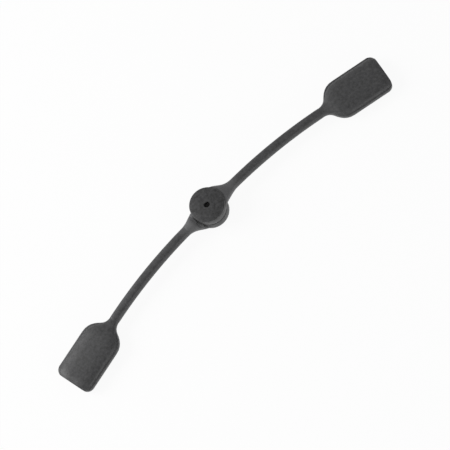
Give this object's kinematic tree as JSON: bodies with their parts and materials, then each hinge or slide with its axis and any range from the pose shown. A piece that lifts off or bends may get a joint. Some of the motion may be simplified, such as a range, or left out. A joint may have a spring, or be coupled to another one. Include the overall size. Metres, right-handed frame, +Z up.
{
  "type": "eyeglass retainer strap",
  "caption": "Bowed rubber eyeglass retainer: two slim arms that swivel on a flat round hub, each ending in a pillow-shaped sleeve for a spectacle side.",
  "frame": {"origin": "hub axis at the hub's flat underside, the face that rests on a table", "axes": "+X runs from the hub to the upper half's sleeve, -X to the lower half's, both arms bow towards -Y, +Z is up along the hub axis"},
  "size_m": [0.2406, 0.0348, 0.0128],
  "materials": {
    "strap_rubber": "matte moulded, charcoal",
    "bush_plastic": "moulded, black",
    "washer_plastic": "die-cut, black",
    "rivet_metal": "blackened stainless"
  },
  "bodies": {
    "lower_half": {"lower_strap": "strap_rubber", "lower_bush": "bush_plastic", "swivel_washer": "washer_plastic", "pivot_rivet": "rivet_metal", "clench_ring": "rivet_metal"},
    "upper_half": {"upper_strap": "strap_rubber", "upper_bush": "bush_plastic"}
  },
  "joints": [
    {"name": "hub_swivel", "type": "hinge", "parent": "lower_half", "child": "upper_half", "pos_m": [0, 0, 0.0064], "axis": [0, 0, 1], "range_deg": [-135, 135]}
  ]
}
